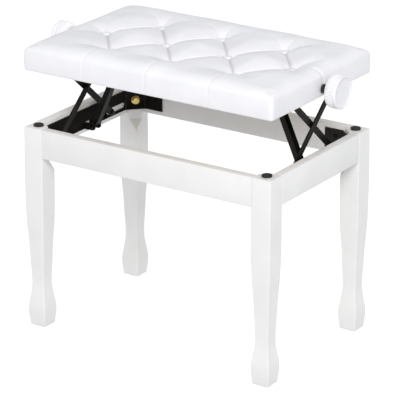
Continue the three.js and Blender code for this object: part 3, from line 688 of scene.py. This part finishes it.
for side in ("front", "back", "left", "right"):
    fit(f"plywood_skirt_{side}", softened(f"seat_skirt_{side}", 0.0005, 1), plywood, "seat",
        "plywood", f"seat_skirt_{side}")
fit("plywood_board", softened("seat_board", 0.0005, 1), plywood, "seat", "plywood", "seat_board")


# ---------------------------------------------------------------- tufted cushion
# White upholstery leather drawn over foam and pulled down by ten hidden ties into two rows
# of three and one row of four. The slack between them is folded into diagonal creases, straight
# pleats run out over the edges, and the corners are folded on the mitre.

SEAT_HALF_X, SEAT_HALF_Y = 0.280, 0.177
SEAT_FLOOR = 0.530
SIDE_HIGH = 0.036
ROUND_WIDE, ROUND_HIGH = 0.027, 0.0145
CROWN_HIGH = 0.0565
TUFT_LEVEL = 0.0372
CORNER_ROUND = 0.0055
HEM_WIDE = 0.014
ROD_LEVEL = 0.015
# SHADE_WIDE is how far the painted shade reaches out from a crease's line
SEAM_DEEP, SEAM_WIDE, SHADE_WIDE = 0.0024, 0.0042, 0.0062
# how deep a crease must be before its groove and its painted shade are at full strength
GROOVE_AND_SHADE_FULL_DEPTH, GROOVE_AND_SHADE_LEAST, GROOVE_AND_SHADE_FADING = 0.0110, 0.14, 0.3
DIMPLE_DEEP, DIMPLE_WIDE = 0.0150, 0.034
GATHER_DEEP, GATHER_AWAY, GATHER_WIDE, GATHER_COUNT = 0.0006, 0.014, 0.008, 9
SPOT_RADIUS, SPOT_EDGE = 0.0082, 0.003
# a thin ring of painted shade round each button, to outline it
RING_RADIUS, RING_WIDE, RING_SHADE = 0.0088, 0.0024, 0.9
WALL_DEPTH, WALL_INSET = 0.0025, 0.0016
GRID = 0.0015

TUFT_INNER, TUFT_NEXT, TUFT_OUTER, TUFT_ROW = 0.0705, 0.141, 0.2115, 0.088
TUFTS = [(x, 0.0) for x in (-TUFT_OUTER, -TUFT_INNER, TUFT_INNER, TUFT_OUTER)]
TUFTS += [(x, y) for y in (-TUFT_ROW, TUFT_ROW) for x in (-TUFT_NEXT, 0.0, TUFT_NEXT)]


def valley(t):
    """A crease's cross-section: 1 at its sharp bottom, rounding off to 0 on a pillow's crown."""
    return (1 - np.clip(t, 0, 1)) ** 1.8


def to_segment(x, y, start, end):
    """Each point's distance from a segment, and its share of the way along it."""
    (ax, ay), (bx, by) = start, end
    dx, dy = bx - ax, by - ay
    share = np.clip(((x - ax) * dx + (y - ay) * dy) / (dx * dx + dy * dy), 0, 1)
    return np.hypot(x - ax - share * dx, y - ay - share * dy), share


# [start, end, depth at the start, in the middle and at the end, half width there]
CREASES = []
for mx, my in TUFTS[:4]:
    for rx, ry in TUFTS[4:]:
        if abs(abs(mx - rx) - TUFT_INNER) < 1e-6:
            CREASES.append(((mx, my), (rx, ry), (0.0140, 0.0118, 0.0140), (0.054, 0.057, 0.054)))
for sx in (-1, 1):
    for sy in (-1, 1):
        CREASES.append(((sx * TUFT_OUTER, 0), (sx * 0.252, sy * 0.060),
                        (0.0120, 0.0052, 0.0), (0.048, 0.046, 0.036)))
        CREASES.append(((sx * TUFT_NEXT, sy * TUFT_ROW), (sx * 0.200, sy * 0.127),
                        (0.0120, 0.0052, 0.0), (0.048, 0.046, 0.036)))
        for rx in (0.0, sx * TUFT_NEXT):
            away = sx if rx == 0.0 else -sx
            CREASES.append(((rx, sy * TUFT_ROW), (rx + away * 0.058, sy * 0.126),
                            (0.0105, 0.0038, 0.0), (0.048, 0.050, 0.044)))
PLEATS = []
for sy in (-1, 1):
    for rx in (-TUFT_NEXT, 0.0, TUFT_NEXT):
        PLEATS.append(((rx, sy * TUFT_ROW), (rx, sy * 0.180),
                       (0.0070, 0.0014, 0.0007), (0.012, 0.005, 0.004)))
for sx in (-1, 1):
    PLEATS.append(((sx * TUFT_OUTER, 0), (sx * 0.284, 0),
                   (0.0070, 0.0022, 0.0016), (0.012, 0.008, 0.010)))
    for sy in (-1, 1):
        PLEATS.append(((sx * 0.2450, sy * 0.142), (sx * 0.281, sy * 0.178),
                       (0.0, 0.0024, 0.0006), (0.004, 0.007, 0.006)))


def sunk(x, y):
    """At each place in plan: how far the leather is drawn in below the smooth crown, where the
    flat spots under the buttons are, and how much painted shade greys it along the creases and in a
    ring round each button."""
    total, seam, spot, painted_shade = [np.zeros_like(x) for _ in range(4)]
    for start, end, depths, widths in CREASES + PLEATS:
        away, share = to_segment(x, y, start, end)
        depth = np.interp(share, (0, 0.5, 1), depths)
        if depths[0] == depths[2]:
            depth = depths[1] + (depths[0] - depths[1]) * np.abs(2 * share - 1) ** 1.7
        width = np.interp(share, (0, 0.5, 1), widths)
        # how far each crease has closed: this sets both the groove cut along it and its painted
        # shade
        groove_and_shade_strength = np.clip(depth / GROOVE_AND_SHADE_FULL_DEPTH, GROOVE_AND_SHADE_LEAST, 1) ** 1.5
        groove_and_shade_strength = groove_and_shade_strength * (1 if depths[2] else GROOVE_AND_SHADE_FADING)
        across = np.clip(1 - (away / SEAM_WIDE) ** 2, 0, 1) ** 2
        seam = np.maximum(seam, SEAM_DEEP * groove_and_shade_strength * across)
        # painted shade: the leather is greyed along each crease, for shade the open mesh doesn't
        # cast
        painted_shade = np.maximum(painted_shade, groove_and_shade_strength * np.clip(1 - away / SHADE_WIDE, 0, 1) ** 3)
        total += (depth * valley(away / width)) ** 3
    for number, (tx, ty) in enumerate(TUFTS):
        away = np.hypot(x - tx, y - ty)
        angle = np.arctan2(y - ty, x - tx)
        gather = GATHER_DEEP * np.sin(GATHER_COUNT * angle + 1.7 * number) * np.exp(
            -((away - GATHER_AWAY) / GATHER_WIDE) ** 2)
        total += np.clip(DIMPLE_DEEP * valley(away / DIMPLE_WIDE) + gather, 0, None) ** 3
        spot = np.maximum(spot, 1 - np.clip((away - SPOT_RADIUS) / SPOT_EDGE, 0, 1))
        # painted shade: a thin grey ring round each button, for the shade at its edge
        ring = np.clip(1 - np.abs(away - RING_RADIUS) / RING_WIDE, 0, 1)
        painted_shade = np.maximum(painted_shade, RING_SHADE * ring)
    return total ** (1 / 3) + seam * (1 - spot), spot * spot * (3 - 2 * spot), painted_shade


def spread(half, rounding, step):
    """Grid lines across the top: even in the middle and closing up over the rounded edge."""
    inner = half - rounding
    count = 2 * round(inner / step)
    middle = np.linspace(-inner, inner, count + 1)
    turn = rounding * (1 - np.cos(np.linspace(0, math.pi / 2, 13)[:-1]))
    return np.concatenate([-half + turn, middle, (half - turn)[::-1]])


xs = spread(SEAT_HALF_X, ROUND_WIDE, GRID)
ys = spread(SEAT_HALF_Y, ROUND_WIDE, GRID)
gx, gy = np.meshgrid(xs, ys)
edge_x = np.clip((SEAT_HALF_X - np.abs(gx)) / ROUND_WIDE, 0, 1)
edge_y = np.clip((SEAT_HALF_Y - np.abs(gy)) / ROUND_WIDE, 0, 1)
rise_x = np.sqrt(1 - (1 - edge_x) ** 2)
rise_y = np.sqrt(1 - (1 - edge_y) ** 2)
rise = np.minimum(rise_x, rise_y)
mitre = 0.08 * np.exp(-((rise_x - rise_y) / 0.25) ** 2)
rise = np.where((rise_x < 1) & (rise_y < 1), rise - mitre * rise, rise)
crown = (CROWN_HIGH - SIDE_HIGH - ROUND_HIGH) * (
    (1 - (gx / SEAT_HALF_X) ** 6) * (1 - (gy / SEAT_HALF_Y) ** 6))
level = SIDE_HIGH + ROUND_HIGH * rise + crown
depth, spot, painted_shade = sunk(gx, gy)
depth = np.minimum(depth, np.maximum(level - TUFT_LEVEL, WALL_DEPTH))
depth = depth * (1 - spot) + (level - TUFT_LEVEL) * spot
lean_x = np.sign(gx) * (1 - edge_x) * np.where(edge_x < 1, 1, 0)
lean_y = np.sign(gy) * (1 - edge_y) * np.where(edge_y < 1, 1, 0)
lean = np.clip(np.hypot(lean_x, lean_y), 1e-9, None)
outward = np.clip(lean, 0, 1)
top = np.stack([
    gx - depth * outward * lean_x / lean,
    gy - depth * outward * lean_y / lean,
    SEAT_FLOOR + level - depth * np.sqrt(1 - outward ** 2),
], -1)

# soft, uneven stuffing: broad low swells that no two pillows share
swell = 0.0006 * np.sin(gx * 41 + 0.7) * np.sin(gy * 53 + 1.9)
top[..., 2] += swell * np.sqrt(1 - outward ** 2)

# the walls go down from the top's edge, turn under the skirts and end in the hem
rim = [(i, 0) for i in range(len(xs))]
rim += [(len(xs) - 1, j) for j in range(1, len(ys))]
rim += [(i, len(ys) - 1) for i in range(len(xs) - 2, -1, -1)]
rim += [(0, j) for j in range(len(ys) - 2, 0, -1)]
rim_x = np.array([xs[i] for i, j in rim])
rim_y = np.array([ys[j] for i, j in rim])
out_x = (np.abs(np.abs(rim_x) - SEAT_HALF_X) < 1e-9) * np.sign(rim_x)
out_y = (np.abs(np.abs(rim_y) - SEAT_HALF_Y) < 1e-9) * np.sign(rim_y)
rim_depth = np.minimum(sunk(rim_x, rim_y)[0], WALL_DEPTH)
wall_rows = [*np.linspace(SIDE_HIGH - 0.003, 0.003, 12), 0.0012, 0.0003]
walls = []
for height in wall_rows:
    fade = 0.35 + 0.65 * height / SIDE_HIGH
    belly = 0.0010 * math.sin(math.pi * height / SIDE_HIGH)
    tuck = max(0.0, 0.0015 - height) * 0.6
    from_rod = np.hypot(rim_y, height - ROD_LEVEL)
    drawn = 0.0014 * np.exp(-(from_rod / 0.020) ** 2) * np.abs(out_x)
    inset = np.minimum(rim_depth * fade - belly + tuck + drawn, WALL_INSET)
    walls.append(np.stack([
        rim_x - out_x * inset,
        rim_y - out_y * inset,
        np.full_like(rim_x, SEAT_FLOOR + height)], -1))
for inward in (WALL_INSET, HEM_WIDE / 2, HEM_WIDE):
    walls.append(np.stack([
        rim_x * (1 - inward / SEAT_HALF_X),
        rim_y * (1 - inward / SEAT_HALF_Y),
        np.full_like(rim_x, SEAT_FLOOR)], -1))
walls.append(walls[-1] + np.array([0, 0, 0.0014]))


def corner_rounded(points):
    """The cover's points with its four vertical corners rounded in plan."""
    over_x = np.abs(points[..., 0]) - (SEAT_HALF_X - CORNER_ROUND)
    over_y = np.abs(points[..., 1]) - (SEAT_HALF_Y - CORNER_ROUND)
    inside = (over_x > 0) & (over_y > 0)
    reach = np.where(inside, np.hypot(over_x, over_y), 1)
    shrink = np.where(inside, np.maximum(over_x, over_y) / reach, 1)
    low_x = np.sign(points[..., 0]) * (SEAT_HALF_X - CORNER_ROUND)
    low_y = np.sign(points[..., 1]) * (SEAT_HALF_Y - CORNER_ROUND)
    points[..., 0] = np.where(inside, low_x + (points[..., 0] - low_x) * shrink, points[..., 0])
    points[..., 1] = np.where(inside, low_y + (points[..., 1] - low_y) * shrink, points[..., 1])
    return points


top = corner_rounded(top)
walls = [corner_rounded(row) for row in walls]

cushion_bm = bmesh.new()
# the painted shade is stored on the mesh, for the leather's colour to read
painted_shade_layer = cushion_bm.verts.layers.float.new("painted_shade")
grid = [[cushion_bm.verts.new(p) for p in row] for row in top]
for row, painted_shade_row in zip(grid, painted_shade):
    for vert, value in zip(row, painted_shade_row):
        vert[painted_shade_layer] = value
for j in range(len(ys) - 1):
    for i in range(len(xs) - 1):
        cushion_bm.faces.new((grid[j][i], grid[j][i + 1], grid[j + 1][i + 1], grid[j + 1][i]))
above = [grid[j][i] for i, j in rim]
for row in walls:
    below = [cushion_bm.verts.new(p) for p in row]
    for i in range(len(rim)):
        k = (i + 1) % len(rim)
        cushion_bm.faces.new((above[k], above[i], below[i], below[k]))
    above = below
bmesh.ops.recalc_face_normals(cushion_bm, faces=cushion_bm.faces)

# corrected-grain leather, IOR 1.5, with a pigmented top coat: a soft half-matt cool white. The
# embossed pebble is about 1 mm across, drawn at 1.8 mm so that it still shows. Painted shade:
# along the creases and in a thin ring round each button the colour is greyed, for shade that the
# open creases of the mesh don't make
leather, tree, shader = new_finish(
    "embossed_white_pigmented_leather", IOR=1.5, Coat_Weight=0.08, Coat_Roughness=0.35)
place = node(tree, "TexCoord")
wander = node(tree, "TexNoise", {
    "Vector": place.outputs["Object"], "Scale": 1000 / 60, "Detail": 3.0})
tone = node(tree, "ValToRGB", {"Fac": wander.outputs["Fac"]})
tone.color_ramp.elements[0].position = 0.3
tone.color_ramp.elements[0].color = linear("#efeff2")
tone.color_ramp.elements[1].position = 0.7
tone.color_ramp.elements[1].color = linear("#f6f6f9")
# painted shade: the creases and the rings round the buttons are mixed towards grey #d0d0d5
folded = node(tree, "Attribute", attribute_name="painted_shade")
shaded = node(tree, "MixRGB", {
    "Fac": folded.outputs["Fac"], "Color1": tone.outputs["Color"], "Color2": linear("#d0d0d5")})
tree.links.new(shaded.outputs["Color"], shader.inputs["Base Color"])
pebble = node(tree, "TexVoronoi", {"Vector": place.outputs["Object"], "Scale": 1000 / 1.8},
              feature="SMOOTH_F1")
pebble.inputs["Smoothness"].default_value = 0.5
polish = node(tree, "MapRange", {"Value": wander.outputs["Fac"], "To Min": 0.4, "To Max": 0.52})
tree.links.new(polish.outputs["Result"], shader.inputs["Roughness"])
pores = node(tree, "TexNoise", {
    "Vector": place.outputs["Object"], "Scale": 1000 / 5, "Detail": 4.0})
rough_skin = node(tree, "Bump", {
    "Height": pores.outputs["Fac"], "Strength": 0.25, "Distance": 0.0003})
skin = node(tree, "Bump", {
    "Height": pebble.outputs["Distance"], "Strength": 0.4, "Distance": 0.00012,
    "Normal": rough_skin.outputs["Normal"]})
tree.links.new(skin.outputs["Normal"], shader.inputs["Normal"])

cushion = fit("tufted_leather_cushion", cushion_bm, leather, "seat", "white_leather",
              "seat_cover", "seat_foam", crisp=70)

# a leather covered button lies flat at the bottom of each tuft, standing just proud of it
BUTTON = [
    [0.0074, -0.0014], [0.0079, 0.0006], [0.0080, 0.0022], [0.0077, 0.0031], [0.0069, 0.0036],
    [0.0045, 0.0039], [0.0020, 0.0040],
]
for number, (tx, ty) in enumerate(TUFTS):
    made = turned(BUTTON, "z", (tx, ty, SEAT_FLOOR + TUFT_LEVEL), 32)
    fit(f"covered_button_{number + 1}", made, leather, "seat", "white_leather", crisp=70)
